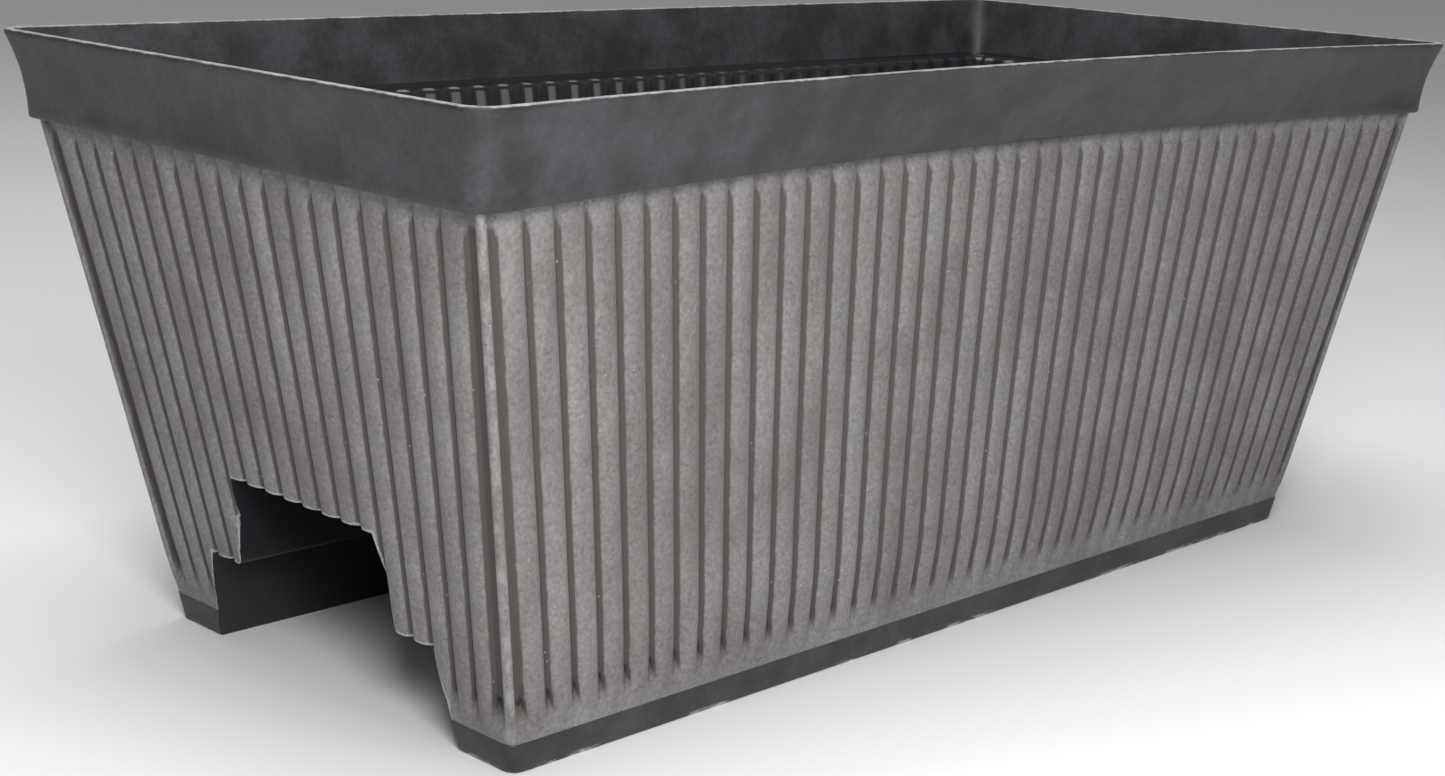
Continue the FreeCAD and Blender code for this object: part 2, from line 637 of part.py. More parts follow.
def gauge_stem():
    """The rod between the float and its marker."""
    foot = f"({FLOAT_Z} + float_rise)"
    return rod("gauge_stem", "stem_radius", f"{FLAG_Z} - {foot}", TUBE_X, GAUGE_Y, foot)


def gauge_flag():
    """The marker that rises into the window as the reservoir fills."""
    return rod("gauge_flag", f"{GAUGE_RADIUS} - gauge_wall - float_gap", "flag_plate",
               TUBE_X, GAUGE_Y, FLAG_Z)


# ---------------------------------------------------------------- drains

DRAIN_FACE_X = f"({crest_length('drain_height')} / 2 - drain_face_depth)"


def drain_plug(side):
    """A push-in plug with a finger grip, in the +X end of one leg."""
    name = SIDE_NAMES[side]
    y = f"{side} * {LEG_MIDDLE}"
    shank = "(wall + reed_depth - drain_face_depth + seal_plate + plug_reach)"
    head_x = f"({DRAIN_FACE_X} + seal_plate)"
    stopper = turned(f"{name}Stopper", [
        (0, 0),
        ("drain_radius - drain_fit", 0),
        ("drain_radius - drain_fit", shank),
        ("plug_head_radius", shank),
        ("plug_head_radius", f"{shank} + plug_head"),
        (0, f"{shank} + plug_head"),
    ], f"{head_x} - {shank}", y, "drain_height", ALONG_X)
    grip_height = "(2 * plug_head_radius - 2 * plug_grip)"
    grip = box(f"{name}Grip", "plug_pull", "2 * plug_grip", grip_height,
               f"{head_x} + plug_head + plug_pull / 2", y, f"drain_height - {grip_height} / 2")
    return fuse(f"drain_plug_{name}", stopper, grip)


def drain_seal(side):
    """The sealing ring under the plug's head."""
    return turned(f"drain_seal_{SIDE_NAMES[side]}", [
        ("drain_radius - drain_fit", 0),
        ("plug_head_radius - seal_margin", 0),
        ("plug_head_radius - seal_margin", "seal_plate"),
        ("drain_radius - drain_fit", "seal_plate"),
    ], DRAIN_FACE_X, f"{side} * {LEG_MIDDLE}", "drain_height", ALONG_X)


# ---------------------------------------------------------------- build, check, write

nodes = [planter_shell()]
for leg_side in (FRONT, REAR):
    nodes += [soil_deck(leg_side), wick_cup(leg_side, -1), wick_cup(leg_side, 1)]
    nodes += [drain_plug(leg_side), drain_seal(leg_side)]
nodes += [fill_tube(), fill_strainer(), fill_cap(), fill_cap_pin()]
nodes += [gauge_tube(), gauge_window(), gauge_float(), gauge_stem(), gauge_flag()]
doc.recompute()

faults = [item.Label for item in doc.Objects if {"Invalid", "Error"} & set(item.State)]
faults += [node.Label for node in nodes if node.Shape.isNull() or not node.Shape.isValid()]
faults += [node.Label for node in nodes if len(node.Shape.Solids) != 1]
if faults:
    raise RuntimeError(f"These objects did not build: {faults}")

os.makedirs("parts", exist_ok=True)
for node in nodes:
    node.Shape.exportStep(f"parts/{node.Label}.step")
    extent = node.Shape.BoundBox
    print(f"{node.Label}: {extent.XLength:.1f} x {extent.YLength:.1f} x {extent.ZLength:.1f} mm,"
          f" {node.Shape.Volume / 1000:.2f} cm3")
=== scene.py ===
import math

import bmesh
import bpy
from mathutils import Euler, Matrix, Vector


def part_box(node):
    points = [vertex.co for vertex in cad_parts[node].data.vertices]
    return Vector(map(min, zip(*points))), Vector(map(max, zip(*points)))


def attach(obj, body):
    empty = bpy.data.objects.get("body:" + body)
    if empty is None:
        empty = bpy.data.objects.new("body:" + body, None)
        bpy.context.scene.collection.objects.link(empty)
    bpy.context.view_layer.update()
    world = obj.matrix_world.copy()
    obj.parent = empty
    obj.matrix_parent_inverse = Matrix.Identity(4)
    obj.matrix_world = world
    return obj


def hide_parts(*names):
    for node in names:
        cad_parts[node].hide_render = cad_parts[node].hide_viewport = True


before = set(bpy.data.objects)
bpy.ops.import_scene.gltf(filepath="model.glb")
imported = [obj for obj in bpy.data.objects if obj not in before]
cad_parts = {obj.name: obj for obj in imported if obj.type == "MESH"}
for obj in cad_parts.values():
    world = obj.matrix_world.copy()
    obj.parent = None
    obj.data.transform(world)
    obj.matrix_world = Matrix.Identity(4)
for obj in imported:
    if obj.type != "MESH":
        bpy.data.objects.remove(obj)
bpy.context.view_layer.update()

# Lengths in this script are written in millimetres and multiplied by MM.
MM = 0.001

# ---------------------------------------------------------------- sizes of the moulding

SHELL_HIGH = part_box("planter_shell")[1]
LIP_HALF = Vector((SHELL_HIGH.x, SHELL_HIGH.y)) / MM
TOP = SHELL_HIGH.z / MM
RIM_HEIGHT = 34
RIM_FLARE = 7
FLARE_POWER = 1.8
RIM_LEDGE = 4.5
LIP_WIDTH = 4.5
RIM_CORNER = 11
WALL = 3
BODY_TOP = TOP - RIM_HEIGHT
RIM_FOOT_HALF = LIP_HALF - Vector((RIM_FLARE, RIM_FLARE))
CREST_TOP_HALF = RIM_FOOT_HALF - Vector((RIM_LEDGE, RIM_LEDGE))
CREST_FOOT_HALF = Vector((251, 106.5))

BAND_HEIGHT = 12
BAND_CORNER = 5
INNER_CORNER = 6
REED_TIP = 17
VALLEY_FOOT = 27
REED_DEPTH = 2.8
REED_POWER = 2.7
HOLLOW_DEPTH = 2
REEDS = (40, 18)
FACETS = 12
CORNER_REACH = (6.8, 9)
BEAD_RADIUS = 1.9
BEAD_INSET = 2.2
BEAD_FOOT = 4.1
BEAD_START, BEAD_SWEEP = -50, 190
CORNER_STEPS = 8

STEP_HEIGHT = 39
SADDLE_HEIGHT = 77
LOW_GAP = (154, 141.5)
HIGH_GAP = (99, 90)
TUNNEL_ROUNDING = 2.5
JACKET_ROUNDING = 3
JACKET_END_INSET = 3.3

DRAIN_BORE = 3.4
DRAIN_FACE = 6.2
OVERFLOW_BORE = 2.5
OVERFLOW_HEIGHT = 35
CUTTER_REACH = 12

# The long front wall has warped. In the middle its rim's foot bows in by BOW, which grows
# from nothing at BOW_FOOT, and its lip stands up by ARCH.
BOW = 15
BOW_FOOT = 44
ARCH = 3

PAINT_REEDS, PAINT_CHARCOAL, RAW_INSIDE, RAW_TUNNEL = range(4)


def smooth(low, high, value):
    """0 below low, 1 above high, and a smooth rise between."""
    share = min(max((value - low) / (high - low), 0), 1)
    return share * share * (3 - 2 * share)


def crest_half(z):
    """Half length and half width over the reeds at a height."""
    return CREST_FOOT_HALF.lerp(CREST_TOP_HALF, z / BODY_TOP)


# ---------------------------------------------------------------- one level of the wall

def reed_share(phase):
    """How deep the skin lies, of the full depth, across one reed from valley to valley."""
    return abs(2 * phase - 1) ** REED_POWER


def hollow_share(phase):
    """The same for the inside, where a round bump backs each valley."""
    return math.cos(math.pi * phase) ** 2


def rounded_corner(radius, reach, across_reach):
    """Corner points as (distance back along this face, distance in from it)."""
    points = [(reach, 0), ((reach + radius) / 2, 0), ((reach + 3 * radius) / 4, 0)]
    for step in range(CORNER_STEPS + 1):
        angle = math.pi / 2 * step / CORNER_STEPS
        points.append((radius * (1 - math.sin(angle)), radius * (1 - math.cos(angle))))
    points += [(0, (across_reach + 3 * radius) / 4), (0, (across_reach + radius) / 2)]
    return points + [(0, across_reach)]


def beaded_corner(depth):
    """Corner points of the reeded wall: a valley, the corner's narrow bead, a valley."""
    reach, across_reach = CORNER_REACH
    points = [(reach, depth), ((reach + BEAD_FOOT) / 2, depth * 1.03), (BEAD_FOOT, depth)]
    for step in range(CORNER_STEPS + 1):
        angle = math.radians(BEAD_START + BEAD_SWEEP * step / CORNER_STEPS)
        points.append((BEAD_INSET - BEAD_RADIUS * math.sin(angle),
                       BEAD_INSET - BEAD_RADIUS * math.cos(angle)))
    return points + [(depth, BEAD_FOOT), (depth * 1.03, (across_reach + BEAD_FOOT) / 2),
                     (depth, across_reach)]


def level(half, z, depth=0, share=reed_share, radius=None, tips=False):
    """One closed row of points round the wall, counter-clockwise from the front's left end.

    half is the half length and half width over the row. A radius gives smooth faces with
    round corners; without one the row has reeds that deep, and beads at the corners. With
    tips, each point is lifted to where the chamfer at the foot of the reeds meets it.
    """
    runs = [size - reach for size, reach in zip(crest_half(min(z, BODY_TOP)), CORNER_REACH)]
    row = []
    for face in range(4):
        outward = Vector(((0, -1), (1, 0), (0, 1), (-1, 0))[face])
        side = Vector((-outward.y, outward.x))
        across, along = half[(face + 1) % 2], half[face % 2]
        run = runs[face % 2]
        reeds = REEDS[face % 2]
        points = []
        for index in range(reeds * FACETS):
            dip = depth * share(index % FACETS / FACETS)
            points.append((2 * run * index / (reeds * FACETS) - run, dip))
        if radius is None:
            corner = beaded_corner(depth)
        else:
            corner = rounded_corner(min(radius, 0.8 * (along - run)), along - run,
                                    across - runs[(face + 1) % 2])
            corner = [(back, dip + depth * share(0)) if back > radius else (back, dip)
                      for back, dip in corner]
            corner = [(back + depth * share(0), dip) if dip > radius else (back, dip)
                      for back, dip in corner]
        if face % 2 and radius is None:
            corner = [(dip, back) for back, dip in reversed(corner)]
        points += [(along - back, dip) for back, dip in corner[:-1]]
        for position, dip in points:
            place = outward * (across - dip) + side * position
            lift = 0
            if tips:
                below = min(half.x - abs(place.x), half.y - abs(place.y))
                lift = (VALLEY_FOOT - REED_TIP) * min(below / REED_DEPTH, 1)
            row.append(Vector((place.x, place.y, z + lift)))
    return row


def rim_outset(share):
    """How far the rim's face stands out past its foot, a share of the way up."""
    return RIM_FLARE * share ** FLARE_POWER


def outer_rows():
    """(points, material) from the foot up to the lip's outer edge, outside."""
    rows = []
    for z, inset in ((0, 1.0), (0.35, 0.35), (1.2, 0), (BAND_HEIGHT / 2, 0),
                     (BAND_HEIGHT - 0.6, 0), (BAND_HEIGHT, 0.3)):
        shape = crest_half(z) - Vector((inset, inset))
        rows.append((level(shape, z, radius=BAND_CORNER), PAINT_CHARCOAL))
    flush = crest_half(REED_TIP - 1.2) - Vector((0.15, 0.15))
    rows.append((level(flush, REED_TIP - 1.2, radius=BAND_CORNER), PAINT_REEDS))
    foot = crest_half(REED_TIP)
    rows.append((level(foot, REED_TIP, REED_DEPTH, tips=True), PAINT_REEDS))
    heights = [VALLEY_FOOT + 3 + step * (BODY_TOP - VALLEY_FOOT - 3) / 16 for step in range(17)]
    for z in heights:
        rows.append((level(crest_half(z), z, REED_DEPTH), PAINT_REEDS))
    rim = [(0, -1.1), (0.006, -0.4), (0.03, 0)]
    rim += [(share / 10, 0) for share in range(1, 10)]
    rim += [(0.955, 0), (0.98, -0.3), (0.995, -0.8), (1, -1.5)]
    for share, outset in rim:
        outset += rim_outset(share)
        shape = RIM_FOOT_HALF + Vector((outset, outset))
        rows.append((level(shape, BODY_TOP + RIM_HEIGHT * share, radius=RIM_CORNER),
                     PAINT_CHARCOAL))
    return rows


def inner_rows():
    """(points, material) from the lip's inner edge down to the floor, inside."""
    rows = []
    ledge = BODY_TOP + WALL
    corner = RIM_CORNER - WALL
    rise = TOP - ledge
    for drop, inset in ((0, 0.9), (0.3, 0.3), (1, 0)):
        shape = LIP_HALF - Vector((LIP_WIDTH - inset, LIP_WIDTH - inset))
        rows.append((level(shape, TOP - drop, radius=corner), PAINT_CHARCOAL))
    foot = RIM_FOOT_HALF - Vector((WALL, WALL))
    head = LIP_HALF - Vector((LIP_WIDTH, LIP_WIDTH))
    for share in (0.75, 0.5, 0.25, 0.06):
        shape = foot.lerp(head, share ** 1.3)
        rows.append((level(shape, ledge + rise * share, radius=corner), PAINT_CHARCOAL))
    for z, inset in ((ledge + 0.5, 0.2), (ledge, 1.0)):
        rows.append((level(foot - Vector((inset, inset)), z, radius=corner), RAW_INSIDE))
    crest_inset = WALL + REED_DEPTH - HOLLOW_DEPTH
    for z, round_over in ((ledge - 0.2, 2.6), (ledge - 0.6, 1.4), (ledge - 1.5, 0.5),
                          (ledge - 3, 0)):
        inset = crest_inset - round_over
        rows.append((level(crest_half(z) - Vector((inset, inset)), z, HOLLOW_DEPTH, hollow_share,
                           radius=INNER_CORNER), RAW_INSIDE))
    inset = Vector((crest_inset, crest_inset))
    for z in (*range(190, 29, -20), 12, 5):
        rows.append((level(crest_half(z) - inset, z, HOLLOW_DEPTH, hollow_share,
                           radius=INNER_CORNER), RAW_INSIDE))
    for z, extra in ((3.6, 0.4), (3, 1.4)):
        inset = Vector((crest_inset + extra, crest_inset + extra))
        rows.append((level(crest_half(z) - inset, z, HOLLOW_DEPTH, hollow_share,
                           radius=INNER_CORNER), RAW_INSIDE))
    return rows


# ---------------------------------------------------------------- meshes

def mesh_object(name, points, faces, materials):
    """A new object from points in millimetres."""
    mesh = bpy.data.meshes.new(name)
    mesh.from_pydata([Vector(point) * MM for point in points], [], faces)
    mesh.polygons.foreach_set("material_index", materials)
    work = bmesh.new()
    work.from_mesh(mesh)
    bmesh.ops.recalc_face_normals(work, faces=work.faces)
    work.to_mesh(mesh)
    work.free()
    thing = bpy.data.objects.new(name, mesh)
    bpy.context.scene.collection.objects.link(thing)
    return thing


def tub():
    """The moulding without its tunnel: one closed skin over the lip, outside and inside."""
    rows = outer_rows() + inner_rows()
    count = len(rows[0][0])
    points = [point for row, _ in rows for point in row]
    faces, materials = [], []
    for index in range(len(rows) - 1):
        for column in range(count):
            following = (column + 1) % count
            faces.append((index * count + column, index * count + following,
                          (index + 1) * count + following, (index + 1) * count + column))
            materials.append(rows[index + 1][1])
    last = (len(rows) - 1) * count
    faces.append(tuple(reversed(range(count))))
    faces.append(tuple(range(last, last + count)))
    materials += [RAW_TUNNEL, RAW_INSIDE]
    return mesh_object("planter_moulding", points, faces, materials)


def filleted(corners):
    """An outline in (y, z) with arcs, from (y, z, radius) corners."""
    outline = []
    count = len(corners)
    for index, (y, z, radius) in enumerate(corners):
        here = Vector((y, z))
        if radius == 0:
            outline.append(here)
            continue
        before = (Vector(corners[index - 1][:2]) - here).normalized()
        after = (Vector(corners[(index + 1) % count][:2]) - here).normalized()
        half_angle = before.angle(after) / 2
        reach = radius / math.tan(half_angle)
        start, end = here + before * reach, here + after * reach
        for step in range(6):
            share = step / 5
            near, far = start.lerp(here, share), here.lerp(end, share)
            outline.append(near.lerp(far, share))
    return outline


def stepped_outline(spare, foot, rounding):
    """The tunnel's outline, or with spare > 0 the outline of the wall round it."""
    slope = (LOW_GAP[0] - LOW_GAP[1]) / 2 / STEP_HEIGHT
    low_foot = LOW_GAP[0] / 2 + spare - slope * foot
    low_head = LOW_GAP[1] / 2 + spare
    high_foot = HIGH_GAP[0] / 2 + spare
    high_head = HIGH_GAP[1] / 2 + spare
    right = [
        (low_foot, foot, 0),
        (low_head, STEP_HEIGHT + spare, rounding),
        (high_foot, STEP_HEIGHT + spare, rounding),
        (high_head, SADDLE_HEIGHT + spare, rounding),
    ]
    left = [(-y, z, radius) for y, z, radius in reversed(right)]
    return filleted(right + left)


def prism(name, outline, end_at, material):
    """The outline pushed along X both ways, to end_at(z)."""
    count = len(outline)
    points = [(side * end_at(z), y, z) for side in (-1, 1) for y, z in outline]
    faces = [tuple(reversed(range(count))), tuple(range(count, 2 * count))]
    for index in range(count):
        following = (index + 1) % count
        faces.append((index, following, count + following, count + index))
    return mesh_object(name, points, faces, [material] * len(faces))


def stepped_rod(name, y, z, sections, material):
    """A cutter turned about a line along X, from (x, radius) sections."""
    sides = 40
    points, faces = [], []
    for x, radius in sections:
        for step in range(sides):
            angle = 2 * math.pi * step / sides
            points.append((x, y + radius * math.cos(angle), z + radius * math.sin(angle)))
    for index in range(len(sections) - 1):
        for step in range(sides):
            following = (step + 1) % sides
            faces.append((index * sides + step, index * sides + following,
                          (index + 1) * sides + following, (index + 1) * sides + step))
    last = (len(sections) - 1) * sides
    faces += [tuple(reversed(range(sides))), tuple(range(last, last + sides))]
    return mesh_object(name, points, faces, [material] * len(faces))


def end_wall_cutters():
    """Drain bores with their flat faces, and overflow holes, in the +X end."""
    cutters = []
    for name in ("front", "rear"):
        low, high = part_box(f"drain_seal_{name}")
        centre = (low + high) / 2 / MM
        face_x = low.x / MM
        cutters.append(stepped_rod(f"{name}_drain_cutter", centre.y, centre.z, [
            (face_x - CUTTER_REACH, DRAIN_BORE), (face_x, DRAIN_BORE), (face_x, DRAIN_FACE),
            (face_x + CUTTER_REACH, DRAIN_FACE)], RAW_TUNNEL))
        wall_x = crest_half(OVERFLOW_HEIGHT).x
        cutters.append(stepped_rod(f"{name}_overflow_cutter", centre.y, OVERFLOW_HEIGHT, [
            (wall_x - CUTTER_REACH, OVERFLOW_BORE), (wall_x + CUTTER_REACH, OVERFLOW_BORE),
        ], RAW_TUNNEL))
    return cutters


def joined(parts):
    """Several objects as one."""
    with bpy.context.temp_override(active_object=parts[0], selected_editable_objects=parts):
        bpy.ops.object.join()
    return parts[0]


def combine(target, tool, operation):
    """Apply one boolean and drop the tool."""
    modifier = target.modifiers.new(operation, "BOOLEAN")
    modifier.operation = operation
    modifier.solver = "MANIFOLD"
    modifier.object = tool
    depsgraph = bpy.context.evaluated_depsgraph_get()
    result = bpy.data.meshes.new_from_object(target.evaluated_get(depsgraph))
    target.modifiers.clear()
    target.data = result
    bpy.data.objects.remove(tool)


def store(mesh, name, values):
    """Keep one number for each point of a mesh, for its materials to read."""
    mesh.attributes.new(name, "FLOAT", "POINT").data.foreach_set("value", values)


def keep_places(mesh):
    """Note how deep each point lies in its groove, how near a corner bead, and how high."""
    groove, bead, rise = [], [], []
    for vertex in mesh.vertices:
        point = vertex.co / MM
        half = crest_half(point.z)
        depths = half.x - abs(point.x), half.y - abs(point.y)
        groove.append(smooth(0, 1, min(depths) / REED_DEPTH) if point.z < BODY_TOP else 0)
        bead.append(1 - smooth(2.5, 5, max(depths)))
        rise.append(point.z)
    store(mesh, "groove", groove)
    store(mesh, "bead", bead)
    store(mesh, "rise", rise)


def warp(mesh):
    """Bow and arch the long front wall."""
    for vertex in mesh.vertices:
        x, y, z = vertex.co / MM
        middle = max(1 - (x / crest_half(min(z, BODY_TOP)).x) ** 2, 0)
        amount = middle * smooth(60, 100, -y)
        inward = BOW * min(max((z - BOW_FOOT) / (BODY_TOP - BOW_FOOT), 0), 1)
        if z > BODY_TOP:
            inward = BOW * (1 - 0.95 * (z - BODY_TOP) / RIM_HEIGHT)
        vertex.co.y += amount * inward * MM
        vertex.co.z += amount * ARCH * smooth(60, TOP, z) * MM


def planter_moulding(materials):
    """The whole painted moulding."""
    shell = tub()
    for material in materials:
        shell.data.materials.append(material)
    jacket = prism("tunnel_jacket", stepped_outline(WALL, WALL / 2, JACKET_ROUNDING),
                   lambda z: crest_half(z).x - JACKET_END_INSET, RAW_INSIDE)
    cutters = [prism("tunnel", stepped_outline(0, -10, TUNNEL_ROUNDING),
                     lambda z: LIP_HALF.x + 20, RAW_TUNNEL)]
    cutters += end_wall_cutters()
    for tool in [jacket] + cutters:
        for material in materials:
            tool.data.materials.append(material)
    cutter = joined(cutters)
    combine(shell, jacket, "UNION")
    combine(shell, cutter, "DIFFERENCE")
    keep_places(shell.data)
    warp(shell.data)
    shell.data.shade_smooth()
    shell.data.set_sharp_from_angle(angle=math.radians(33))
    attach(shell, "root")
    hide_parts("planter_shell")
    return shell


# ---------------------------------------------------------------- wiring of materials

class Look:
    """A material being wired. Each method adds a node and returns its output socket."""

    def __init__(self, name):
        self.material = bpy.data.materials.new(name)
        self.material.use_nodes = True
        self.tree = self.material.node_tree
        self.shader = self.tree.nodes["Principled BSDF"]
        coordinates = self.tree.nodes.new("ShaderNodeTexCoord")
        self.place = coordinates.outputs["Object"]

    def connect(self, socket, value):
        """Link an output into a socket, or set the socket's own number or colour."""
        if isinstance(value, bpy.types.NodeSocket):
            self.tree.links.new(value, socket)
        elif value is not None:
            socket.default_value = value

    def math(self, operation, first, second=None, third=None, clamp=False):
        node = self.tree.nodes.new("ShaderNodeMath")
        node.operation = operation
        node.use_clamp = clamp
        for socket, value in zip(node.inputs, (first, second, third)):
            self.connect(socket, value)
        return node.outputs[0]

    def ramp(self, value, low, high):
        """0 at low, 1 at high, and a smooth rise between, whichever is larger."""
        node = self.tree.nodes.new("ShaderNodeMapRange")
        node.interpolation_type = "SMOOTHSTEP"
        for socket, part in zip(node.inputs, (value, low, high, 0.0, 1.0)):
            self.connect(socket, part)
        return node.outputs[0]

    def stretched(self, x, y, z):
        """The object's own coordinates, scaled."""
        node = self.tree.nodes.new("ShaderNodeMapping")
        self.connect(node.inputs["Vector"], self.place)
        node.inputs["Scale"].default_value = (x, y, z)
        return node.outputs[0]

    def noise(self, scale, detail=2.0, roughness=0.5, place=None):
        """Noise from 0 to 1, with scale in waves per metre."""
        node = self.tree.nodes.new("ShaderNodeTexNoise")
        self.connect(node.inputs["Vector"], place or self.place)
        node.inputs["Scale"].default_value = scale
        node.inputs["Detail"].default_value = detail
        node.inputs["Roughness"].default_value = roughness
        return node.outputs["Fac"]

    def specks(self, scale, size):
        """1 on round specks about size of a cell wide, 0 between them."""
        node = self.tree.nodes.new("ShaderNodeTexVoronoi")
        self.connect(node.inputs["Vector"], self.place)
        node.inputs["Scale"].default_value = scale
        return self.ramp(node.outputs["Distance"], size, size * 0.6)

    def axis(self, index):
        """One coordinate of the object's own place, in metres."""
        node = self.tree.nodes.new("ShaderNodeSeparateXYZ")
        self.connect(node.inputs[0], self.place)
        return node.outputs[index]

    def stored(self, name):
        """A number kept on the mesh."""
        node = self.tree.nodes.new("ShaderNodeAttribute")
        node.attribute_name = name
        return node.outputs["Fac"]

    def mix(self, share, first, second):
        """Blend two colours."""
        node = self.tree.nodes.new("ShaderNodeMix")
        node.data_type = "RGBA"
        colours = [socket for socket in node.inputs if socket.type == "RGBA"]
        self.connect(node.inputs[0], share)
        self.connect(colours[0], first)
        self.connect(colours[1], second)
        return next(socket for socket in node.outputs if socket.type == "RGBA")

    def scaled(self, colour, amount):
        """A colour made darker or lighter."""
        node = self.tree.nodes.new("ShaderNodeVectorMath")
        node.operation = "SCALE"
        self.connect(node.inputs[0], colour)
        self.connect(node.inputs["Scale"], amount)
        return node.outputs[0]

    def bump(self, height, distance, strength=1.0, under=None):
        """A relief of that height in millimetres."""
        node = self.tree.nodes.new("ShaderNodeBump")
        node.inputs["Strength"].default_value = strength
        node.inputs["Distance"].default_value = distance * MM
        self.connect(node.inputs["Height"], height)
        if under is not None:
            self.connect(node.inputs["Normal"], under)
        return node.outputs[0]

    def finish(self, colour, roughness, normal=None, **constants):
        """Wire the shader and return the material."""
        self.connect(self.shader.inputs["Base Color"], colour)
        self.connect(self.shader.inputs["Roughness"], roughness)
        if normal is not None:
            self.connect(self.shader.inputs["Normal"], normal)
        for name, value in constants.items():
            self.shader.inputs[name.replace("_", " ")].default_value = value
        return self.material


def tunnel_distance(look):
    """How far a point is outside the tunnel's outline, in metres."""
    across = look.math("ABSOLUTE", look.axis(1))
    height = look.axis(2)
    parts = []
    for gap, foot, head in ((LOW_GAP, 0, STEP_HEIGHT), (HIGH_GAP, STEP_HEIGHT, SADDLE_HEIGHT)):
        slope = (gap[0] - gap[1]) / 2 / (head - foot)
        reach = look.math("MULTIPLY_ADD", height, -slope, (gap[0] / 2 + slope * foot) * MM)
        beside = look.math("SUBTRACT", across, reach)
        above = look.math("SUBTRACT", height, head * MM)
        parts.append(look.math("MAXIMUM", beside, above))
    return look.math("MINIMUM", *parts)


# ---------------------------------------------------------------- paints and plastics

REED_LIGHT = (0.205, 0.197, 0.195, 1)
REED_DARK = (0.135, 0.128, 0.125, 1)
# Dark brown of the valley wash, darkened further to stand for painted shade in the valleys; the
# dark flecks use it too.
REED_WASH_AND_SHADE = (0.056, 0.050, 0.047, 1)
# Pale of rubbed paint, chips and specks; on the corner bead it is also a painted highlight.
WEAR_AND_HIGHLIGHT_WHITE = (0.62, 0.61, 0.60, 1)
RAW_BLACK = (0.008, 0.009, 0.011, 1)
CHARCOAL_LIGHT = (0.043, 0.044, 0.050, 1)
CHARCOAL_DARK = (0.019, 0.019, 0.021, 1)
# Pale of the lip's top: rubbed paint, and a painted highlight on the upward face.
LIP_WEAR_AND_HIGHLIGHT = (0.46, 0.45, 0.45, 1)


def reed_paint():
    """Speckled warm grey over the reeds, darker in the valleys, where a brown wash and painted
    shade are both laid on, less so at their feet.
    """
    look = Look("reed_paint")
    cloud = look.noise(28, 4, 0.6)
    streaks = look.noise(60, 3, 0.6, look.stretched(1, 1, 0.12))
    blend = look.math("MULTIPLY_ADD", streaks, 0.5, look.math("MULTIPLY", cloud, 0.6))
    colour = look.mix(look.ramp(blend, 0.35, 0.75), REED_DARK, REED_LIGHT)
    grain = look.noise(620, 4, 0.75)
    colour = look.scaled(colour, look.math("MULTIPLY_ADD", grain, 1.8, 0.1))
    # Painted shade in the valleys over a real brown wash: darker the deeper the groove, less so
    # at the feet, where the valley's end ramps up towards the light.
    wash_and_shade_edge = look.math("MULTIPLY_ADD", look.noise(180, 3), 0.3, look.stored("groove"))
    wash_and_shade_by_height = look.math("MULTIPLY_ADD", look.ramp(look.stored("rise"), 19, 27), 0.75, 0.2)
    wash_and_shade = look.math("MULTIPLY", look.ramp(wash_and_shade_edge, 0.5, 0.76), wash_and_shade_by_height)
    colour = look.mix(wash_and_shade, colour, REED_WASH_AND_SHADE)
    fleck_area = look.ramp(look.noise(45, 2), 0.45, 0.65)
    fleck = look.math("MULTIPLY", look.specks(420, 0.22), fleck_area)
    colour = look.mix(look.math("MULTIPLY", fleck, 0.45), colour, REED_WASH_AND_SHADE)
    pale = look.math("MULTIPLY", look.specks(230, 0.1), look.ramp(look.noise(30, 2), 0.5, 0.7))
    colour = look.mix(look.math("MULTIPLY", pale, 0.5), colour, WEAR_AND_HIGHLIGHT_WHITE)

    # A pale patchy line along the corner bead: partly rubbed paint, partly a painted highlight
    # on its round edge.
    bead_line_patches = look.ramp(look.noise(260, 4, 0.65, look.stretched(1, 1, 0.35)), 0.45, 0.62)
    bead_wear_and_highlight = look.math("MULTIPLY", look.stored("bead"), bead_line_patches)
    colour = look.mix(look.math("MULTIPLY", bead_wear_and_highlight, 0.14), colour, WEAR_AND_HIGHLIGHT_WHITE)

    edge = look.math("MULTIPLY_ADD", look.noise(240, 3, 0.7), -3.2 * MM, tunnel_distance(look))
    chipped = look.ramp(edge, -0.6 * MM, -1.1 * MM)
    colour = look.mix(look.math("MULTIPLY", chipped, 0.35), colour, WEAR_AND_HIGHLIGHT_WHITE)
    bare = look.ramp(edge, -1.5 * MM, -2.0 * MM)
    colour = look.mix(bare, colour, RAW_BLACK)

    relief = look.bump(grain, 0.25)
    relief = look.bump(cloud, 0.5, under=relief)
    roughness = look.math("MULTIPLY_ADD", grain, 0.2, 0.5)
    return look.finish(colour, roughness, relief, Specular_IOR_Level=0.4)


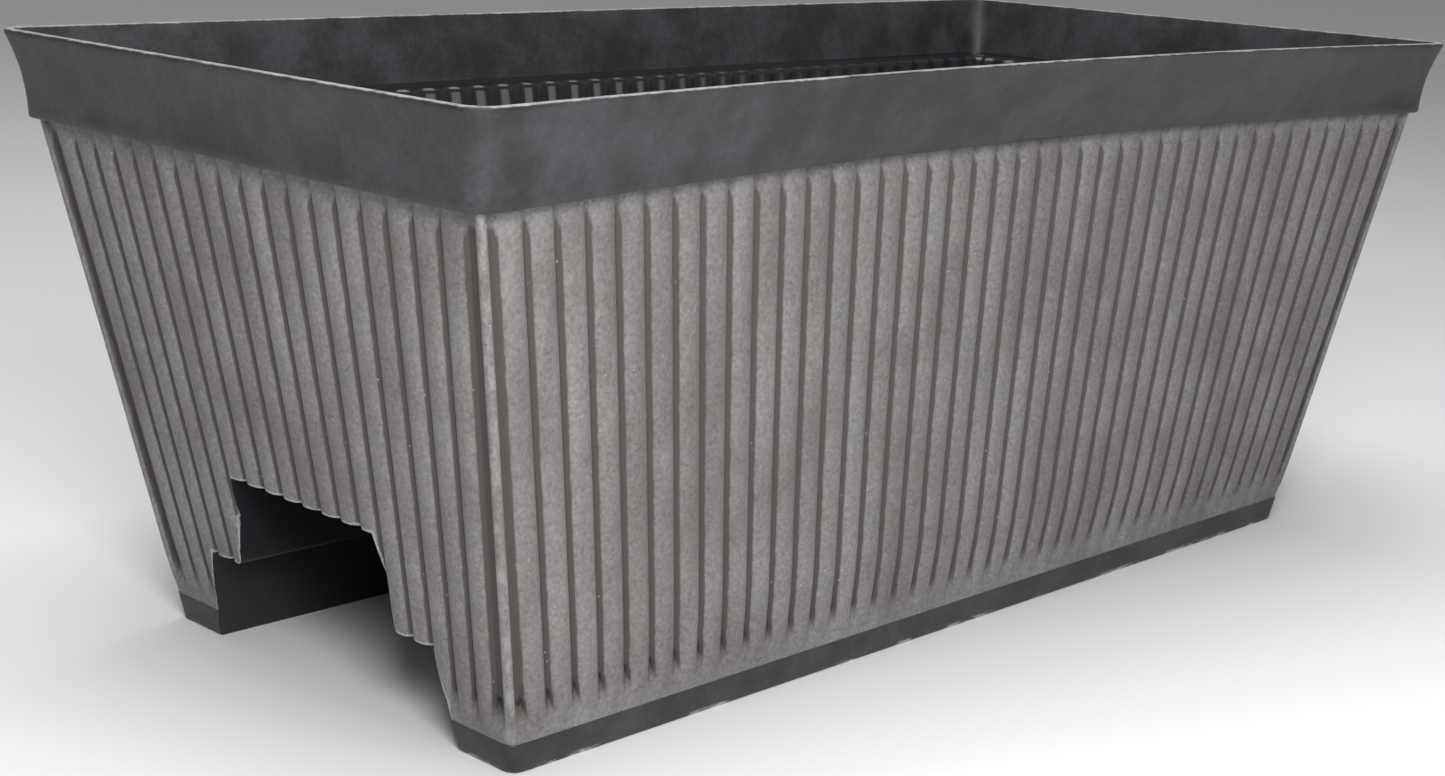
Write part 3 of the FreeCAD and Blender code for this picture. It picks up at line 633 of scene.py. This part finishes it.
def charcoal_paint():
    """Mottled charcoal on the rim and the base band, rubbed pale along their edges, the lip's
    pale top also a painted highlight.
    """
    look = Look("charcoal_paint")
    rise = look.stored("rise")
    cloud = look.noise(38, 5, 0.65)
    colour = look.mix(look.ramp(cloud, 0.35, 0.68), CHARCOAL_DARK, CHARCOAL_LIGHT)
    grain = look.noise(480, 5, 0.75)
    colour = look.scaled(colour, look.math("MULTIPLY_ADD", grain, 1.4, 0.3))
    pits = look.math("MULTIPLY", look.specks(330, 0.2), look.ramp(look.noise(50, 2), 0.5, 0.7))
    colour = look.mix(look.math("MULTIPLY", pits, 0.4), colour, RAW_BLACK)

    # The lip's flat top painted pale: partly rubbed paint, partly a painted highlight where it
    # faces up.
    ragged = look.math("MULTIPLY_ADD", look.noise(150, 4, 0.7), 1.2, rise)
    lip = look.ramp(ragged, TOP + 0.1, TOP + 0.75)
    colour = look.mix(look.math("MULTIPLY", lip, 0.85), colour, LIP_WEAR_AND_HIGHLIGHT)
    scuffed = look.ramp(look.noise(95, 4, 0.75, look.stretched(0.35, 0.35, 1)), 0.5, 0.62)
    foot = look.math("MULTIPLY", look.ramp(rise, 2.2, 0.6), scuffed)
    colour = look.mix(look.math("MULTIPLY", foot, 0.7), colour, WEAR_AND_HIGHLIGHT_WHITE)

    edge = look.math("MULTIPLY_ADD", look.noise(240, 3, 0.7), -3 * MM, tunnel_distance(look))
    colour = look.mix(look.ramp(edge, -1.1 * MM, -1.6 * MM), colour, RAW_BLACK)

    relief = look.bump(grain, 0.1)
    relief = look.bump(cloud, 0.4, under=relief)
    roughness = look.math("MULTIPLY_ADD", cloud, 0.25, 0.34)
    return look.finish(colour, roughness, relief, Specular_IOR_Level=0.45)


def raw_resin(name, low_gloss, high_gloss):
    """The moulding's own unpainted black, with faint flow marks."""
    look = Look(name)
    flow = look.noise(18, 3, 0.6, look.stretched(0.25, 1, 1))
    colour = look.mix(flow, RAW_BLACK, (0.016, 0.017, 0.020, 1))
    dust = look.math("MULTIPLY", look.specks(160, 0.08), 0.25)
    colour = look.mix(dust, colour, (0.12, 0.12, 0.12, 1))
    roughness = look.ramp(flow, 0.2, 0.8)
    roughness = look.math("MULTIPLY_ADD", roughness, high_gloss - low_gloss, low_gloss)
    relief = look.bump(flow, 0.6)
    relief = look.bump(look.noise(500, 2), 0.03, under=relief)
    return look.finish(colour, roughness, relief, Specular_IOR_Level=0.5)


def moulded(name, colour, roughness=0.42, grain_height=0.05, **constants):
    """Plain moulded plastic or rubber: fine grain, faint clouding and handling marks."""
    look = Look(name)
    cloud = look.noise(70, 4, 0.6)
    grain = look.noise(1400, 2, 0.6)
    dark = [part * 0.72 for part in colour[:3]] + [1]
    shade = look.mix(look.ramp(cloud, 0.3, 0.7), dark, (*colour[:3], 1))
    shade = look.scaled(shade, look.math("MULTIPLY_ADD", grain, 0.25, 0.88))
    polish = look.math("MULTIPLY_ADD", cloud, 0.22, roughness - 0.1)
    relief = look.bump(grain, grain_height)
    relief = look.bump(cloud, 0.15, under=relief)
    return look.finish(shade, polish, relief, **constants)


def brushed_steel():
    """A steel pin with marks round it."""
    look = Look("brushed_steel")
    lines = look.noise(900, 3, 0.7, look.stretched(0.15, 4, 0.15))
    colour = look.mix(lines, (0.42, 0.42, 0.43, 1), (0.62, 0.62, 0.62, 1))
    roughness = look.math("MULTIPLY_ADD", lines, 0.25, 0.2)
    return look.finish(colour, roughness, look.bump(lines, 0.02), Metallic=1.0)


def clear_plastic():
    """The gauge's window, faintly frosted by handling."""
    look = Look("clear_plastic")
    haze = look.noise(90, 4, 0.6)
    colour = look.mix(haze, (0.86, 0.90, 0.91, 1), (0.95, 0.97, 0.97, 1))
    roughness = look.math("MULTIPLY_ADD", haze, 0.16, 0.02)
    return look.finish(colour, roughness, look.bump(haze, 0.05), IOR=1.49,
                       Transmission_Weight=1.0)


# ---------------------------------------------------------------- the CAD's own pieces

def soften(node, width):
    """Break the sharp edges of a CAD piece, as a mould does."""
    bevel = node.modifiers.new("SoftEdges", "BEVEL")
    bevel.width = width * MM
    bevel.segments = 2
    bevel.limit_method = "ANGLE"
    bevel.angle_limit = math.radians(50)
    node.data.shade_smooth()
    node.data.set_sharp_from_angle(angle=math.radians(35))


def dress(names, material, width=0.35):
    """Give CAD pieces a finish, and soft edges where width isn't 0."""
    for name in names:
        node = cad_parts[name]
        node.data.materials.clear()
        node.data.materials.append(material)
        soften(node, width)


def dress_cad_pieces():
    """Finish every carried-over CAD piece."""
    cups = [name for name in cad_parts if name.startswith("wick_cup")]
    dress(["soil_deck_front", "soil_deck_rear"], moulded("deck_black", (0.028, 0.029, 0.031)))
    dress(cups, moulded("cup_black", (0.022, 0.023, 0.025), 0.5))
    fill = moulded("fill_charcoal", (0.075, 0.077, 0.082), 0.4)
    dress(["fill_tube", "fill_strainer"], fill)
    dress(["fill_cap"], moulded("cap_charcoal", (0.095, 0.097, 0.102), 0.36))
    dress(["gauge_tube"], fill)
    dress(["fill_cap_pin"], brushed_steel(), 0.2)
    dress(["gauge_window"], clear_plastic(), 0.3)
    dress(["gauge_float", "gauge_stem"], moulded("float_white", (0.70, 0.69, 0.64), 0.45), 0.2)
    dress(["gauge_flag"], moulded("flag_red", (0.52, 0.030, 0.018), 0.3), 0.4)
    rubber = moulded("plug_rubber", (0.024, 0.024, 0.025), 0.62, 0.08)
    dress(["drain_plug_front", "drain_plug_rear"], rubber)
    dress(["drain_seal_front", "drain_seal_rear"], moulded("seal_rubber", (0.040, 0.038, 0.036),
                                                           0.6), 0.25)


# ---------------------------------------------------------------- stage, lights, camera

def stage():
    """A wide pale floor."""
    reach = 30
    mesh = bpy.data.meshes.new("floor")
    mesh.from_pydata([(-reach, -reach, 0), (reach, -reach, 0), (reach, reach, 0),
                      (-reach, reach, 0)], [], [(0, 1, 2, 3)])
    floor = bpy.data.objects.new("floor", mesh)
    bpy.context.scene.collection.objects.link(floor)
    look = Look("pale_floor")
    shade = look.mix(look.noise(3, 2), (0.80, 0.80, 0.80, 1), (0.83, 0.83, 0.83, 1))
    floor.data.materials.append(look.finish(shade, 0.9))


def soft_light(name, place, aim, size, power):
    """A square area light that faces a point."""
    data = bpy.data.lights.new(name, "AREA")
    data.shape = "SQUARE"
    data.size = size
    data.energy = power
    lamp = bpy.data.objects.new(name, data)
    lamp.location = place
    lamp.rotation_euler = (Vector(place) - Vector(aim)).to_track_quat("Z", "Y").to_euler()
    bpy.context.scene.collection.objects.link(lamp)


def lights():
    """A pale surround, a soft light by the camera, a weak one along the front, one overhead."""
    world = bpy.data.worlds.new("studio")
    world.use_nodes = True
    background = world.node_tree.nodes["Background"]
    background.inputs["Color"].default_value = (1, 1, 1, 1)
    background.inputs["Strength"].default_value = 0.26
    bpy.context.scene.world = world
    soft_light("key", (-0.60, -0.60, 0.52), (-0.20, -0.12, 0.12), 0.26, 5.6)
    soft_light("front_fill", (-0.15, -1.15, 0.60), (-0.05, -0.13, 0.08), 0.6, 2.5)
    soft_light("overhead", (0, 0.1, 1.9), (0, 0, 0.1), 1.4, 24)


def camera():
    """The photograph's viewpoint."""
    data = bpy.data.cameras.new("camera")
    data.sensor_width = 36
    data.lens = 55.27
    data.shift_x = 0.0087
    data.shift_y = 0.0028
    eye = bpy.data.objects.new("camera", data)
    eye.location = (-0.7229, -0.6577, 0.3181)
    eye.rotation_euler = Euler((1.3310, -0.0393, -0.7863))
    bpy.context.scene.collection.objects.link(eye)
    bpy.context.scene.camera = eye


camera()
lights()
stage()
planter_moulding([reed_paint(), charcoal_paint(), raw_resin("raw_inside", 0.18, 0.34),
                  raw_resin("raw_tunnel", 0.30, 0.5)])
dress_cad_pieces()
bpy.context.scene.view_settings.view_transform = "Standard"
